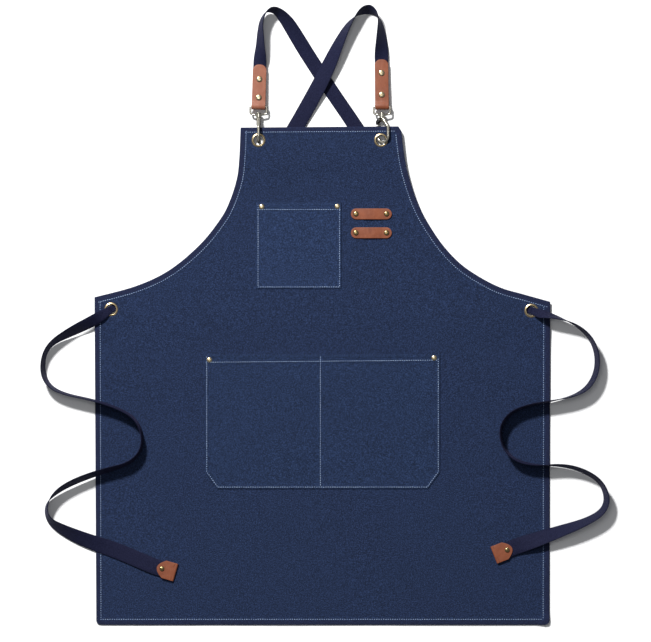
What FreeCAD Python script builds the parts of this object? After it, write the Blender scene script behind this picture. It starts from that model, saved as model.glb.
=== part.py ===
import FreeCAD, Part

import math
import os

from FreeCAD import Placement, Rotation, Vector

# Cross-back canvas bib apron laid flat on its back, in millimetres.
# X runs across the apron, Y from the hem to the bib, Z up from the floor.
# The origin is on the floor, under the middle of the apron without its ties.

# --- driving dimensions -------------------------------------------------------------------
CLOTH = 1.0                 # canvas thickness as laid, hems included
HALF_WIDTH = 349.5          # half the width of the skirt
HEM_Y = -477.0              # bottom hem
CORNER_RADIUS = 7.0         # hem corners

WEBBING_WIDTH = 24.4        # strap webbing
WEBBING_THICKNESS = 1.5
BUNCHED_WIDTH = 11.0        # webbing gathered to pass through a grommet

GROMMET_BORE = 7.5          # radius of the clear hole
GROMMET_BARREL = 8.0        # radius of the barrel, and of the hole in the cloth
GROMMET_FLANGE = 11.0       # radius of the flange and washer
FLANGE_HEIGHT = 1.5
WASHER_THICKNESS = 0.8
ROLL_THICKNESS = 0.5        # barrel end rolled over the washer
ROLL_RADIUS = 9.2

BIB_GROMMETS = {"left": (-98.0, 268.0), "right": (89.8, 268.0)}
WAIST_GROMMETS = {"left": (-324.0, 8.5), "right": (320.7, 6.5)}

HOOK_AXIS_X = {"left": -98.0, "right": 91.3}
HOOK_ROLL = {"left": 0.0, "right": 55.0}    # turn of each hook about its long axis, degrees
HOOK_AXIS_Z = 10.0
HOOK_WIRE = 2.0             # radius of the hook's bent wire
HOOK_ROOT = 3.4             # radius where it leaves the swivel
SPINE_SHOULDER = 0.25       # step in radius where the tapered bar meets the wire
SPINE_OFFSET = 11.5         # spine above the hook's axis
NOSE_OFFSET = 7.8           # nose below the hook's axis
BEND_Y = 264.75             # middle of the wire at the hook's bend
NOSE_TIP_Y = 290.0
COLLAR_Y = (303.5, 308.5)   # swivel collar on the ring
GATE_PIVOT = (300.2, -2.6)  # (y, offset from the axis)
GATE_PIN_RADIUS = 0.8
GATE_PLAY = 0.06            # running clearance of the gate on its pin
LUG_HALF = 2.0              # half the thickness of the lug that holds the gate's pin
SPRING_ROOM = 1.9           # radius of the lug's hollow round the spring

RING_WIRE = 1.5             # radius of the ring's wire
RING_HALF_WIDTH = 12.5      # to the middle of the wire
RING_BAR_Y = 320.0
RING_CORNER_Y = 308.3       # where the ring's sides turn in towards the collar

TAB_WIDTH = 21.0            # leather strap tab that holds the ring
TAB_LENGTH = {"left": 64.0, "right": 72.0}  # from the ring's bar to the rounded end
TAB_LEATHER = 1.8
TAB_LEAN = {"left": -1.8, "right": 0.5}     # lean in plan, degrees
TAB_SLOPE = {"left": -3.0, "right": -4.0}   # fall from the ring to the rounded end, degrees
TAB_RIVETS = {"left": (13.3, 41.5), "right": (17.5, 51.0)}

TIP_WIDTH = 27.5            # leather end of a waist tie
TIP_LENGTH = 28.0
TIP_LEATHER = 1.5
TIP_Z = 4.1
TIP_END = {"left": (-227.0, -395.0), "right": (265.0, -368.0)}   # middle of the folded edge
TIP_ANGLE = {"left": 163.7, "right": 21.5}  # direction from the folded edge to the strap

TAB_PINCH = 8.5             # where the two sides of a tab close together, from the bar
TAB_FOLD_SLACK = 2.0        # inner radius of the strap's fold on the bar
TIP_PINCH = 3.0
TIP_RIVET = 20.0            # from the folded edge

RIVET_POST = 1.5            # radius
RIVET_BACK = 3.8            # radius of the disc at the back
RIVET_BACK_THICKNESS = 0.6
RIVET_HEAD_DEPTH = 0.8      # how far the post enters the cap
CAP_HEIGHT = 2.0
CANVAS_CAP = 4.2            # radius of the caps on pockets and loops
TAB_CAP = 4.6
TIP_CAP = 3.8

LOOP_SIZE = (62.5, 16.4, 2.2)               # leather loop on the bib
LOOP_CENTRES = {"upper": (75.0, 155.0), "lower": (75.0, 126.0)}
LOOP_RIVET_SPACING = 47.0

CHEST_POCKET = (-100.0, 41.0, 29.0, 172.0)      # x, y, x, y
LOWER_POCKET = (-178.0, -266.0, 178.0, -61.0)
LOWER_POCKET_CHAMFER = (18.5, 25.0)
CHEST_RIVETS = ((-93.0, 166.0), (23.0, 166.5))
LOWER_RIVETS = ((-173.5, -69.0), (171.5, -66.0))

# Underside of the cloth: flat on the floor along the skirt, lifted over the straps at
# the waist and over the hooks at the bib, as (y, z).
REST_PROFILE = ((-480, 0), (-165, 0), (-100, 1.5), (-50, 1.5), (-15, 4), (190, 4), (245, 9), (300, 9))

# Armholes, from the bib's corner down to the waist.
LEFT_ARMHOLE = ((-125.3, 287.2), (-127.5, 238), (-131.5, 207), (-143, 172), (-157, 146),
                (-188, 107.5), (-234, 69), (-285, 44.5), (-349.5, 27))
RIGHT_ARMHOLE = ((121, 281), (126.5, 238), (134, 207), (146, 172), (160, 144),
                 (183.5, 108.5), (211, 79), (242, 57.5), (274, 41.5), (306.5, 32), (349.5, 20))
BIB_CORNER = (116.0, 289.0)

# Straps and ties: (x, y, z, roll in degrees, width). The route's corners are rounded. Roll 0
# is flat; a strap rolled by -90 or 90 degrees stands on its edge.
W = WEBBING_WIDTH
STRAP_ROUTES = {
    "left": (
        (-95.9, 384.3, 6.7, 0, 20), (-95.5, 396, 8.6, -28, 21), (-95, 410, 12, -54, 23),
        (-95, 430, 15.4, -66, W),
        (-94, 450, 18, -77, W), (-87, 465, 17.8, -88, W), (-78, 469, 15.4, -110, W),
        (-67, 465, 13.6, -122, W), (-53.2, 449.4, 9.2, -143, W), (-40, 427.6, 5.8, -160, 23),
        (-19.8, 394.8, 1.8, -177, 22), (14.2, 342.8, 1, -180, 22), (50.2, 290.8, 1, -180, 22),
        (86, 233, 1, -180, W), (120, 176, 1, -180, W), (155, 116, 1, -180, W),
        (200, 64, 1, -180, W), (252, 31, 1, -180, W), (297, 15, 1, -180, 18),
        (315.7, 8.5, 1, -180, BUNCHED_WIDTH),
        (320.7, 6.5, 4.4, -180, BUNCHED_WIDTH),
    ),
    "right": (
        (90.7, 392.1, 5, 0, 21), (90.8, 403, 6.8, 18, 22), (90.6, 416, 9.6, 42, 24),
        (90, 434, 12.6, 58, W),
        (88, 452.5, 14, 80, W), (82.5, 463, 13.2, 104, W), (73, 469, 11, 127, W),
        (62, 467.2, 12, 118, W), (50.5, 458.8, 13.4, 90, W), (38.6, 443, 12.2, 68, W),
        (26.5, 419.5, 10.8, 52, W), (12, 387, 9.2, 28, W), (-4, 354, 6.6, 14, W),
        (-22, 321, 3.8, 5, W), (-40, 289, 2, 0, W), (-80, 224, 1, 0, W),
        (-122, 158, 1, 0, W), (-170, 96, 1, 0, W), (-226, 52, 1, 0, W), (-292, 25, 1, 0, 18),
        (-319.5, 11.4, 1, 0, BUNCHED_WIDTH), (-324, 8.5, 4.4, 0, BUNCHED_WIDTH),
    ),
}
TIE_ROUTES = {
    "left": (
        (-324, 8.5, 4.4, 0, BUNCHED_WIDTH), (-330.66, 4.208, 9.432, 0, 12), (-349, -8, 15.4, -38, 22),
        (-384, -25, 13.6, -54, W), (-415, -42, 13, -73, W), (-428, -62, 12.8, -78, W),
        (-429, -91, 12.6, -73, W), (-418, -111, 12.7, -79, W), (-394, -122, 13.2, -84, W),
        (-354, -130, 14.8, -85, W), (-318, -141, 14.6, -85, W), (-288, -157, 13.8, -84, W),
        (-275, -183, 13.6, -83, W), (-278, -210, 13.6, -82, W), (-298, -229, 13.7, -80, W),
        (-335, -239, 14, -71, W), (-378, -254, 16, -68, W), (-407, -270, 15.4, -74, W),
        (-424, -290, 13.8, -98, W), (-422, -312, 12.9, -108, W), (-404, -327, 10.8, -130, W),
        (-366, -345, 6.8, -157, W), (-314, -362, 3, -180, W), (-261.6, -384.9, 4.1, -180, W),
        (-247.9, -388.9, 4.1, -180, W),
    ),
    "right": (
        (320.7, 6.5, 4.4, 0, BUNCHED_WIDTH), (328.1, 3.54, 9.432, 0, 12), (343, 0, 17.2, -62, 20),
        (365, -5, 18.2, -84, W), (391, -16, 14.6, -98, W), (412, -35, 12.9, -103, W),
        (422, -60, 12.7, -106, W), (421, -88, 12.6, -107, W), (408, -112, 12.5, -106, W),
        (385, -125, 13.2, -95, W), (352, -132, 14.9, -86, W), (316, -138, 14.7, -82, W),
        (287, -150, 13.8, -80, W), (272, -172, 13.7, -81, W), (276, -202, 13.7, -81, W),
        (294, -223, 13.7, -82, W), (326, -231, 13.8, -86, W), (368, -230, 14, -102, W),
        (402, -239, 13.5, -105, W), (428, -256, 13, -104, W), (438, -282, 12.8, -110, W),
        (430, -303, 12.6, -112, W), (403, -318.5, 12.2, -117, W), (362, -333, 10.8, -137, W),
        (321, -347.5, 6.4, -160, W), (298.5, -354.8, 4.1, -180, W),
        (285.3, -360, 4.1, -180, W),
    ),
}
ROUTE_SHARE = 0.45          # share of the shorter run that each rounded corner takes
CORNER_STEPS = 4

FAR = 500.0                 # beyond the apron on every side
UP = Vector(0, 0, 1)
ALONG = Vector(0, 1, 0)
ACROSS = Vector(1, 0, 0)


# --- helpers ------------------------------------------------------------------------------
def save(node, *solids):
    """Writes one node's STEP file: one solid, or a group of separate ones."""
    shape = solids[0] if len(solids) == 1 else Part.makeCompound(list(solids))
    shape.exportStep(f"parts/{node}.step")


def cloth_height(y):
    """Height of the cloth's underside at y."""
    for (y0, z0), (y1, z1) in zip(REST_PROFILE, REST_PROFILE[1:]):
        if y0 <= y <= y1:
            return z0 + (z1 - z0) * (y - y0) / (y1 - y0)
    return 0.0


def layer(lift, thickness):
    """A bent sheet as wide as the floor that follows the cloth's underside, lift above it."""
    under = [Vector(-FAR, y, z + lift) for y, z in REST_PROFILE]
    over = [point + UP * thickness for point in reversed(under)]
    face = Part.Face(Part.makePolygon(under + over + under[:1]))
    return face.extrude(ACROSS * 2 * FAR)


def prism(wire):
    """The upright column over a closed plan outline drawn at z = 0."""
    column = Part.Face(wire).extrude(UP * 60)
    return column.translated(UP * -5)


def cut_from_layer(wire, lift=0.0, thickness=CLOTH):
    return layer(lift, thickness).common(prism(wire)).Solids[0]


def polygon_wire(points):
    corners = [Vector(x, y, 0) for x, y in points]
    return Part.makePolygon(corners + corners[:1])


def post_hole(x, y, radius=RIVET_POST):
    return Part.makeCylinder(radius, 80, Vector(x, y, -20))


def rounded_wire(points, radii):
    """Straight runs joined by tangent arcs; radii has one radius for each inner point."""
    edges = []
    start = points[0]
    for before, corner, after, radius in zip(points, points[1:], points[2:], radii):
        back = (before - corner).normalize()
        ahead = (after - corner).normalize()
        half_turn = (math.pi - back.getAngle(ahead)) / 2
        reach = radius * math.tan(half_turn)
        first = corner + back * reach
        last = corner + ahead * reach
        inward = (back + ahead).normalize()
        middle = corner + inward * (radius / math.cos(half_turn) - radius)
        if (first - start).Length > 1e-6:
            edges.append(Part.LineSegment(start, first).toShape())
        edges.append(Part.Arc(first, middle, last).toShape())
        start = last
    if (points[-1] - start).Length > 1e-6:
        edges.append(Part.LineSegment(start, points[-1]).toShape())
    return Part.Wire(edges)


def tube(points, radii, radius):
    """Round wire of that radius along a rounded path."""
    path = rounded_wire(points, radii)
    heading = points[1] - points[0]
    section = Part.Wire(Part.Circle(points[0], heading, radius).toShape())
    return path.makePipeShell([section], True, False)


def dome(radius, height, centre, base_z):
    """A spherical cap that sits on base_z."""
    ball_radius = (radius ** 2 + height ** 2) / (2 * height)
    middle = Vector(centre[0], centre[1], base_z + height - ball_radius)
    ball = Part.makeSphere(ball_radius, middle)
    column = Part.makeCylinder(radius + 1, height + 1, Vector(centre[0], centre[1], base_z))
    return ball.common(column).Solids[0]


def rivet(x, y, bottom, top, cap_radius):
    """(cap, post): a domed cap pressed onto a post that has a disc at the back."""
    post = Part.makeCylinder(RIVET_POST, top - bottom + RIVET_HEAD_DEPTH, Vector(x, y, bottom))
    disc = Part.makeCylinder(
        RIVET_BACK, RIVET_BACK_THICKNESS, Vector(x, y, bottom - RIVET_BACK_THICKNESS))
    socket = Part.makeCylinder(RIVET_POST, RIVET_HEAD_DEPTH, Vector(x, y, top))
    cap = dome(cap_radius, CAP_HEIGHT, (x, y), top).cut(socket)
    return cap.Solids[0], post.fuse(disc).removeSplitter().Solids[0]


def save_rivets(name, rivets):
    save(f"{name}_rivet_caps", *[cap for cap, post in rivets])
    save(f"{name}_rivet_posts", *[post for cap, post in rivets])


# --- canvas ------------------------------------------------------------------------------
def spline_edge(points):
    curve = Part.BSplineCurve()
    curve.interpolate([Vector(x, y, 0) for x, y in points])
    return curve.toShape()


def apron_outline():
    """Closed plan outline: bib, armholes, sides and hem."""
    left = Vector(*LEFT_ARMHOLE[0], 0)
    corner = Vector(*BIB_CORNER, 0)
    right = Vector(*RIGHT_ARMHOLE[0], 0)
    left_waist = Vector(*LEFT_ARMHOLE[-1], 0)
    right_waist = Vector(*RIGHT_ARMHOLE[-1], 0)
    hem_right = Vector(HALF_WIDTH - 1.0, HEM_Y, 0)
    hem_left = Vector(2.5 - HALF_WIDTH, HEM_Y, 0)
    sides = rounded_wire([right_waist, hem_right, hem_left, left_waist], [CORNER_RADIUS] * 2)
    return Part.Wire(
        [Part.LineSegment(left, corner).toShape(), Part.LineSegment(corner, right).toShape(),
         spline_edge(RIGHT_ARMHOLE)] + sides.Edges + [spline_edge(LEFT_ARMHOLE[::-1])])


def apron_body():
    body = cut_from_layer(apron_outline())
    for x, y in list(BIB_GROMMETS.values()) + list(WAIST_GROMMETS.values()):
        body = body.cut(post_hole(x, y, GROMMET_BARREL))
    for x, y in pocket_and_loop_rivets():
        body = body.cut(post_hole(x, y))
    return body.Solids[0]


def loop_rivets(name):
    x, y = LOOP_CENTRES[name]
    return [(x - LOOP_RIVET_SPACING / 2, y), (x + LOOP_RIVET_SPACING / 2, y)]


def pocket_and_loop_rivets():
    return list(CHEST_RIVETS) + list(LOWER_RIVETS) + loop_rivets("upper") + loop_rivets("lower")


def chest_pocket():
    x0, y0, x1, y1 = CHEST_POCKET
    pocket = cut_from_layer(polygon_wire([(x0, y0), (x1, y0), (x1, y1), (x0, y1)]), CLOTH)
    for x, y in CHEST_RIVETS:
        pocket = pocket.cut(post_hole(x, y))
    return pocket.Solids[0]


def lower_pocket():
    x0, y0, x1, y1 = LOWER_POCKET
    dx, dy = LOWER_POCKET_CHAMFER
    outline = [(x0 + dx, y0), (x1 - dx, y0), (x1, y0 + dy), (x1, y1), (x0, y1), (x0, y0 + dy)]
    pocket = cut_from_layer(polygon_wire(outline), CLOTH)
    for x, y in LOWER_RIVETS:
        pocket = pocket.cut(post_hole(x, y))
    return pocket.Solids[0]


def make_canvas():
    save("apron_body", apron_body())
    save("chest_pocket", chest_pocket())
    save("lower_pocket", lower_pocket())
    for name, places in (("chest_pocket", CHEST_RIVETS), ("lower_pocket", LOWER_RIVETS)):
        rivets = []
        for x, y in places:
            under = cloth_height(y)
            rivets.append(rivet(x, y, under, under + 2 * CLOTH, CANVAS_CAP))
        save_rivets(name, rivets)


# --- leather loops on the bib -------------------------------------------------------------
def stadium(length, width, thickness, centre, base_z):
    """A flat strip with fully rounded ends."""
    x, y = centre
    half = (length - width) / 2
    strip = Part.makeBox(2 * half, width, thickness, Vector(x - half, y - width / 2, base_z))
    for side in (-half, half):
        strip = strip.fuse(Part.makeCylinder(width / 2, thickness, Vector(x + side, y, base_z)))
    return strip.removeSplitter()


def make_loops():
    length, width, thickness = LOOP_SIZE
    for name, centre in LOOP_CENTRES.items():
        under = cloth_height(centre[1])
        base = under + CLOTH
        strip = stadium(length, width, thickness, centre, base)
        rivets = []
        for x, y in loop_rivets(name):
            strip = strip.cut(post_hole(x, y))
            rivets.append(rivet(x, y, under, base + thickness, CANVAS_CAP))
        save(f"{name}_leather_loop", strip.Solids[0])
        save_rivets(f"{name}_loop", rivets)


# --- grommets ------------------------------------------------------------------------------
def eyelet(x, y, under):
    """Barrel with a rounded front flange, its back end rolled over the washer."""
    top = under + CLOTH
    low = under - WASHER_THICKNESS
    foot = low - ROLL_THICKNESS
    crown = top + FLANGE_HEIGHT
    bore, barrel, flange = GROMMET_BORE, GROMMET_BARREL, GROMMET_FLANGE

    def at(radius, z):
        return Vector(radius, 0, z)

    edges = [
        Part.LineSegment(at(bore, foot), at(bore, top + 0.5)).toShape(),
        Part.Arc(at(bore, top + 0.5), at(bore + 0.5, crown - 0.3), at(9.2, crown)).toShape(),
        Part.Arc(at(9.2, crown), at(10.5, crown - 0.5), at(flange, top)).toShape(),
        Part.makePolygon([at(flange, top), at(barrel, top), at(barrel, low),
                          at(ROLL_RADIUS, low), at(ROLL_RADIUS, foot), at(bore, foot)]),
    ]
    face = Part.Face(Part.Wire(sum([edge.Edges for edge in edges], [])))
    ring = face.revolve(Vector(), UP, 360)
    return ring.translated(Vector(x, y, 0))


def washer(x, y, under):
    base = Vector(x, y, under - WASHER_THICKNESS)
    disc = Part.makeCylinder(GROMMET_FLANGE, WASHER_THICKNESS, base)
    return disc.cut(Part.makeCylinder(GROMMET_BARREL, WASHER_THICKNESS, base))


def make_grommets():
    for place, centres in (("bib", BIB_GROMMETS), ("waist", WAIST_GROMMETS)):
        for side, (x, y) in centres.items():
            under = cloth_height(y)
            save(f"{side}_{place}_eyelet", eyelet(x, y, under))
            save(f"{side}_{place}_washer", washer(x, y, under))


# --- straps and ties ------------------------------------------------------------------------
def mixed(a, b, share):
    return [p + (q - p) * share for p, q in zip(a, b)]


def rounded_route(route):
    """Samples (x, y, z, roll, width) along the route: straight runs and rounded corners."""
    def run(a, b):
        return math.dist(a[:3], b[:3])

    samples = [list(route[0])]
    for before, corner, after in zip(route, route[1:], route[2:]):
        reach = ROUTE_SHARE * min(run(before, corner), run(corner, after))
        first = mixed(corner, before, reach / run(before, corner))
        last = mixed(corner, after, reach / run(corner, after))
        for step in range(CORNER_STEPS + 1):
            share = step / CORNER_STEPS
            samples.append(mixed(mixed(first, corner, share), mixed(corner, last, share), share))
    samples.append(list(route[-1]))
    return samples


def section(sample, heading):
    """Rectangular cross-section of the webbing, square to its heading."""
    x, y, z, roll, width = sample
    level = Vector(-heading.y, heading.x, 0).normalize()
    upright = heading.cross(level)
    angle = math.radians(roll)
    side = level * math.cos(angle) + upright * math.sin(angle)
    face_normal = heading.cross(side).normalize()
    edge = side * (width / 2)
    skin = face_normal * (WEBBING_THICKNESS / 2)
    centre = Vector(x, y, z)
    corners = [centre + edge + skin, centre - edge + skin, centre - edge - skin, centre + edge - skin]
    return Part.makePolygon(corners + corners[:1])


def webbing(route):
    samples = rounded_route(route)
    points = [Vector(*sample[:3]) for sample in samples]
    sections = []
    for i, sample in enumerate(samples):
        heading = (points[min(i + 1, len(points) - 1)] - points[max(i - 1, 0)]).normalize()
        sections.append(section(sample, heading))
    return Part.makeLoft(sections, True, True), points


def smallest_radius(points):
    """Radius of the tightest circle through three neighbouring points."""
    radii = []
    for a, b, c in zip(points, points[1:], points[2:]):
        area = (b - a).cross(c - a).Length
        if area > 1e-9:
            radii.append((b - a).Length * (c - b).Length * (c - a).Length / (2 * area))
    return min(radii)


def make_straps():
    for side in ("left", "right"):
        for kind, route in (("shoulder_strap", STRAP_ROUTES[side]), ("waist_tie", TIE_ROUTES[side])):
            solid, points = webbing(route)
            length = sum((b - a).Length for a, b in zip(points, points[1:]))
            print(f"{side}_{kind}: valid {solid.isValid()}, length {length:.0f}, "
                  f"tightest bend {smallest_radius(points):.1f}, volume {solid.Volume:.0f}")
            save(f"{side}_{kind}", solid)


# --- folded leather: strap tabs and tie tips -------------------------------------------------
def folded_strip(inner, outer, pinch, pinched_inner, pinched_outer, length, width):
    """A strip folded round the X axis at the origin, with both legs running along +Y.

    inner and outer are the fold's radii. Past pinch the legs close to the pinched heights.
    """
    def at(y, z):
        return Vector(-width / 2, y, z)

    legs = [
        Part.Arc(at(0, outer), at(-outer, 0), at(0, -outer)).toShape(),
        Part.makePolygon([at(0, -outer), at(pinch, -pinched_outer), at(length, -pinched_outer),
                          at(length, -pinched_inner), at(pinch, -pinched_inner), at(0, -inner)]),
        Part.Arc(at(0, -inner), at(-inner, 0), at(0, inner)).toShape(),
        Part.makePolygon([at(0, inner), at(pinch, pinched_inner), at(length, pinched_inner),
                          at(length, pinched_outer), at(pinch, pinched_outer), at(0, outer)]),
    ]
    face = Part.Face(Part.Wire(sum([leg.Edges for leg in legs], [])))
    return face.extrude(ACROSS * width)


def rounded_end(width, length, reach):
    """Plan outline of a tab: square at the fold, rounded at its far end."""
    half = width / 2
    side_end = length - reach
    points = [Vector(-half, side_end, 0), Vector(0, length, 0), Vector(half, side_end, 0)]
    arc = Part.Arc(*points).toShape()
    sides = Part.makePolygon([points[2], Vector(half, -20, 0), Vector(-half, -20, 0), points[0]])
    return Part.Wire([arc] + sides.Edges)


def tab_placement(side):
    base = Vector(HOOK_AXIS_X[side], RING_BAR_Y, HOOK_AXIS_Z)
    turn = Rotation(UP, TAB_LEAN[side]).multiply(Rotation(ACROSS, TAB_SLOPE[side]))
    return Placement(base, turn)


def make_tab(side):
    """Leather tab folded round the ring's bar, with the strap's end folded inside it."""
    fold_outer = TAB_FOLD_SLACK + WEBBING_THICKNESS
    core = WEBBING_THICKNESS                    # half of the doubled strap
    length = TAB_LENGTH[side]
    leather = folded_strip(fold_outer, fold_outer + TAB_LEATHER, TAB_PINCH,
                           core, core + TAB_LEATHER, length, TAB_WIDTH)
    column = prism(rounded_end(TAB_WIDTH, length, TAB_WIDTH * 0.32)).translated(UP * -20)
    leather = leather.common(column)
    fold = folded_strip(TAB_FOLD_SLACK, fold_outer, TAB_PINCH, 0.02, core,
                        length - 0.6, TAB_WIDTH - 1.0)
    rivets = []
    for y in TAB_RIVETS[side]:
        leather = leather.cut(post_hole(0, y))
        fold = fold.cut(post_hole(0, y))
        rivets.append(rivet(0, y, -core - TAB_LEATHER, core + TAB_LEATHER, TAB_CAP))
    place = tab_placement(side)
    pieces = [leather.Solids[0], fold.Solids[0]] + [solid for both in rivets for solid in both]
    for piece in pieces:
        piece.Placement = place.multiply(piece.Placement)
    save(f"{side}_strap_tab", pieces[0])
    save(f"{side}_strap_fold", pieces[1])
    save_rivets(f"{side}_tab", [(pieces[2], pieces[3]), (pieces[4], pieces[5])])


def make_tip(side):
    """Leather end of a waist tie, folded over the webbing and riveted through it."""
    core = WEBBING_THICKNESS / 2 + 0.05
    leather = folded_strip(core, core + TIP_LEATHER, TIP_PINCH,
                           core, core + TIP_LEATHER, TIP_LENGTH, TIP_WIDTH)
    outline = rounded_end(TIP_WIDTH, TIP_LENGTH, TIP_WIDTH * 0.42)
    leather = leather.common(prism(outline).translated(UP * -20))
    leather = leather.cut(post_hole(0, TIP_RIVET)).Solids[0]
    cap, post = rivet(0, TIP_RIVET, -core - TIP_LEATHER, core + TIP_LEATHER, TIP_CAP)
    x, y = TIP_END[side]
    place = Placement(Vector(x, y, TIP_Z), Rotation(UP, TIP_ANGLE[side] - 90))
    for piece in (leather, cap, post):
        piece.Placement = place.multiply(piece.Placement)
    save(f"{side}_tie_tip", leather)
    save(f"{side}_tip_rivet_cap", cap)
    save(f"{side}_tip_rivet_post", post)


# --- swivel hooks -------------------------------------------------------------------------
def hook_point(y, offset, across=0.0):
    """A point of a hook that stands upright on the Y axis."""
    return Vector(across, y, offset)


def plate(outline, half_thickness):
    """A plate in the hook's own plane, from (y, offset) points."""
    points = [hook_point(y, offset, -half_thickness) for y, offset in outline]
    return Part.Face(Part.makePolygon(points + points[:1])).extrude(ACROSS * 2 * half_thickness)


def cross_pin(radius, half_length):
    y, offset = GATE_PIVOT
    return Part.makeCylinder(radius, 2 * half_length, hook_point(y, offset, -half_length), ACROSS)


def tapered_spine():
    """The bar that rises from the swivel to the spine and thins to the wire."""
    start = hook_point(301.5, 2.0)
    end = hook_point(288.5, SPINE_OFFSET - 0.4)
    heading = end - start
    return Part.makeCone(HOOK_ROOT, HOOK_WIRE + SPINE_SHOULDER, heading.Length, start, heading)


def hook_body():
    """Swivel stem and head, gate lug and tapered spine, then wire round to the nose."""
    low, high = COLLAR_Y
    stem = Part.makeCylinder(1.6, high - low + 2.0, hook_point(low - 1.0, 0), ALONG)
    head = Part.makeCylinder(2.8, 1.8, hook_point(high + 0.1, 0), ALONG)
    shoulder = Part.makeCylinder(HOOK_ROOT, 1.3, hook_point(low - 1.5, 0), ALONG)
    outline = [(303.2, -3.0), (303.2, 2.5), (298.5, 6.0), (297.5, 3.0), (297.8, -1.0),
               (297.6, -5.2), (301.4, -5.2)]
    lug = plate(outline, LUG_HALF)
    bend = (SPINE_OFFSET + NOSE_OFFSET) / 2
    wire = tube(
        [hook_point(300.5, 2.8), hook_point(288.0, SPINE_OFFSET), hook_point(BEND_Y, SPINE_OFFSET),
         hook_point(BEND_Y, -NOSE_OFFSET), hook_point(NOSE_TIP_Y, -NOSE_OFFSET)],
        [6.0, bend, bend], HOOK_WIRE)
    solid = lug.fuse([stem, head, shoulder, tapered_spine(), wire]).removeSplitter()
    return solid.cut(cross_pin(SPRING_ROOM, 1.2)).cut(cross_pin(GATE_PIN_RADIUS, 5.0)).Solids[0]


def gate_lever():
    """Channel-shaped gate whose cheeks straddle the lug, with a thumb knob on its back."""
    nose = -NOSE_OFFSET
    outline = [(301.2, -0.9), (301.8, -2.1), (301.8, -4.6), (297.0, nose - 1.4), (293.5, nose - 1.4),
               (291.3, nose - 0.2), (291.3, nose + 1.8), (295.6, nose + 2.0), (298.3, -1.2)]
    lever = plate(outline, LUG_HALF + 1.2)
    slot_floor = nose - 0.2
    slot = Part.makeBox(2 * LUG_HALF + 0.4, 10.0, -slot_floor,
                        hook_point(294.8, slot_floor, -LUG_HALF - 0.2))
    knob = Part.makeCylinder(1.6, 1.5, hook_point(295.6, nose - 1.9), UP)
    hole = cross_pin(GATE_PIN_RADIUS + GATE_PLAY, 5.0)
    return lever.cut(slot).fuse(knob).cut(hole).Solids[0]


def gate_spring():
    """Three turns of a torsion spring round the gate's pin, inside the lug."""
    y, offset = GATE_PIVOT
    return [Part.makeTorus(1.4, 0.25, hook_point(y, offset, across), ACROSS)
            for across in (-0.6, 0.0, 0.6)]


def swivel_ring():
    """Wire ring for the tab, closed by a collar in which the hook turns."""
    low, high = COLLAR_Y
    half = RING_HALF_WIDTH
    bar = RING_BAR_Y
    corner = RING_CORNER_Y
    collar_y = (low + high) / 2
    loop = tube(
        [hook_point(collar_y, 0, -2.9), hook_point(corner, 0, -half), hook_point(bar, 0, -half),
         hook_point(bar, 0, half), hook_point(corner, 0, half), hook_point(collar_y, 0, 2.9)],
        [3.5, 2.5, 2.5, 3.5], RING_WIRE)
    collar = Part.makeCylinder(4.0, high - low, hook_point(low, 0), ALONG)
    bore = Part.makeCylinder(1.66, 8.0, hook_point(low - 1.0, 0), ALONG)
    return loop.fuse(collar).removeSplitter().cut(bore).Solids[0]


def make_hook(side):
    axis = Vector(HOOK_AXIS_X[side], 0, HOOK_AXIS_Z)
    rolled = Placement(axis, Rotation(ALONG, HOOK_ROLL[side]))
    pieces = {
        "hook": [hook_body()], "gate": [gate_lever()], "gate_spring": gate_spring(),
        "gate_pin": [cross_pin(GATE_PIN_RADIUS, LUG_HALF + 1.7)],
    }
    for name, solids in pieces.items():
        for solid in solids:
            solid.Placement = rolled.multiply(solid.Placement)
        save(f"{side}_{name}", *solids)
    ring = swivel_ring()
    ring.Placement = Placement(axis, Rotation()).multiply(ring.Placement)
    save(f"{side}_swivel_ring", ring)


def main():
    os.makedirs("parts", exist_ok=True)
    make_canvas()
    make_loops()
    make_grommets()
    make_straps()
    for side in ("left", "right"):
        make_tab(side)
        make_tip(side)
        make_hook(side)


main()
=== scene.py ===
import math

import bmesh
import bpy
import numpy as np
from mathutils import Matrix, Vector, noise


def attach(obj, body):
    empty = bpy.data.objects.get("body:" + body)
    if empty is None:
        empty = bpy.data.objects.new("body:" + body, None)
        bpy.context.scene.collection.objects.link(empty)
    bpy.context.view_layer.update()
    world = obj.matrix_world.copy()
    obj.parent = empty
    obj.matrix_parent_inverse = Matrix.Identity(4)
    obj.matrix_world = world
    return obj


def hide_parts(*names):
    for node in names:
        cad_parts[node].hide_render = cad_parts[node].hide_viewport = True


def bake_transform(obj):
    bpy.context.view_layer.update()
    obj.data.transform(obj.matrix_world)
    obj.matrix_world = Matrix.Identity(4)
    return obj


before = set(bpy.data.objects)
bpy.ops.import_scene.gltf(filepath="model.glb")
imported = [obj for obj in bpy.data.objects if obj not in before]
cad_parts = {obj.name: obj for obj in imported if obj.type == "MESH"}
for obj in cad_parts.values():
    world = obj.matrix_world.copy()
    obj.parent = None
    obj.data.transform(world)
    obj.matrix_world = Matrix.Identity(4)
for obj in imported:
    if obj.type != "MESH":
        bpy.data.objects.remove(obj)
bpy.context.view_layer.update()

SCENE = bpy.context.scene
SIDES = ("left", "right")

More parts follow.
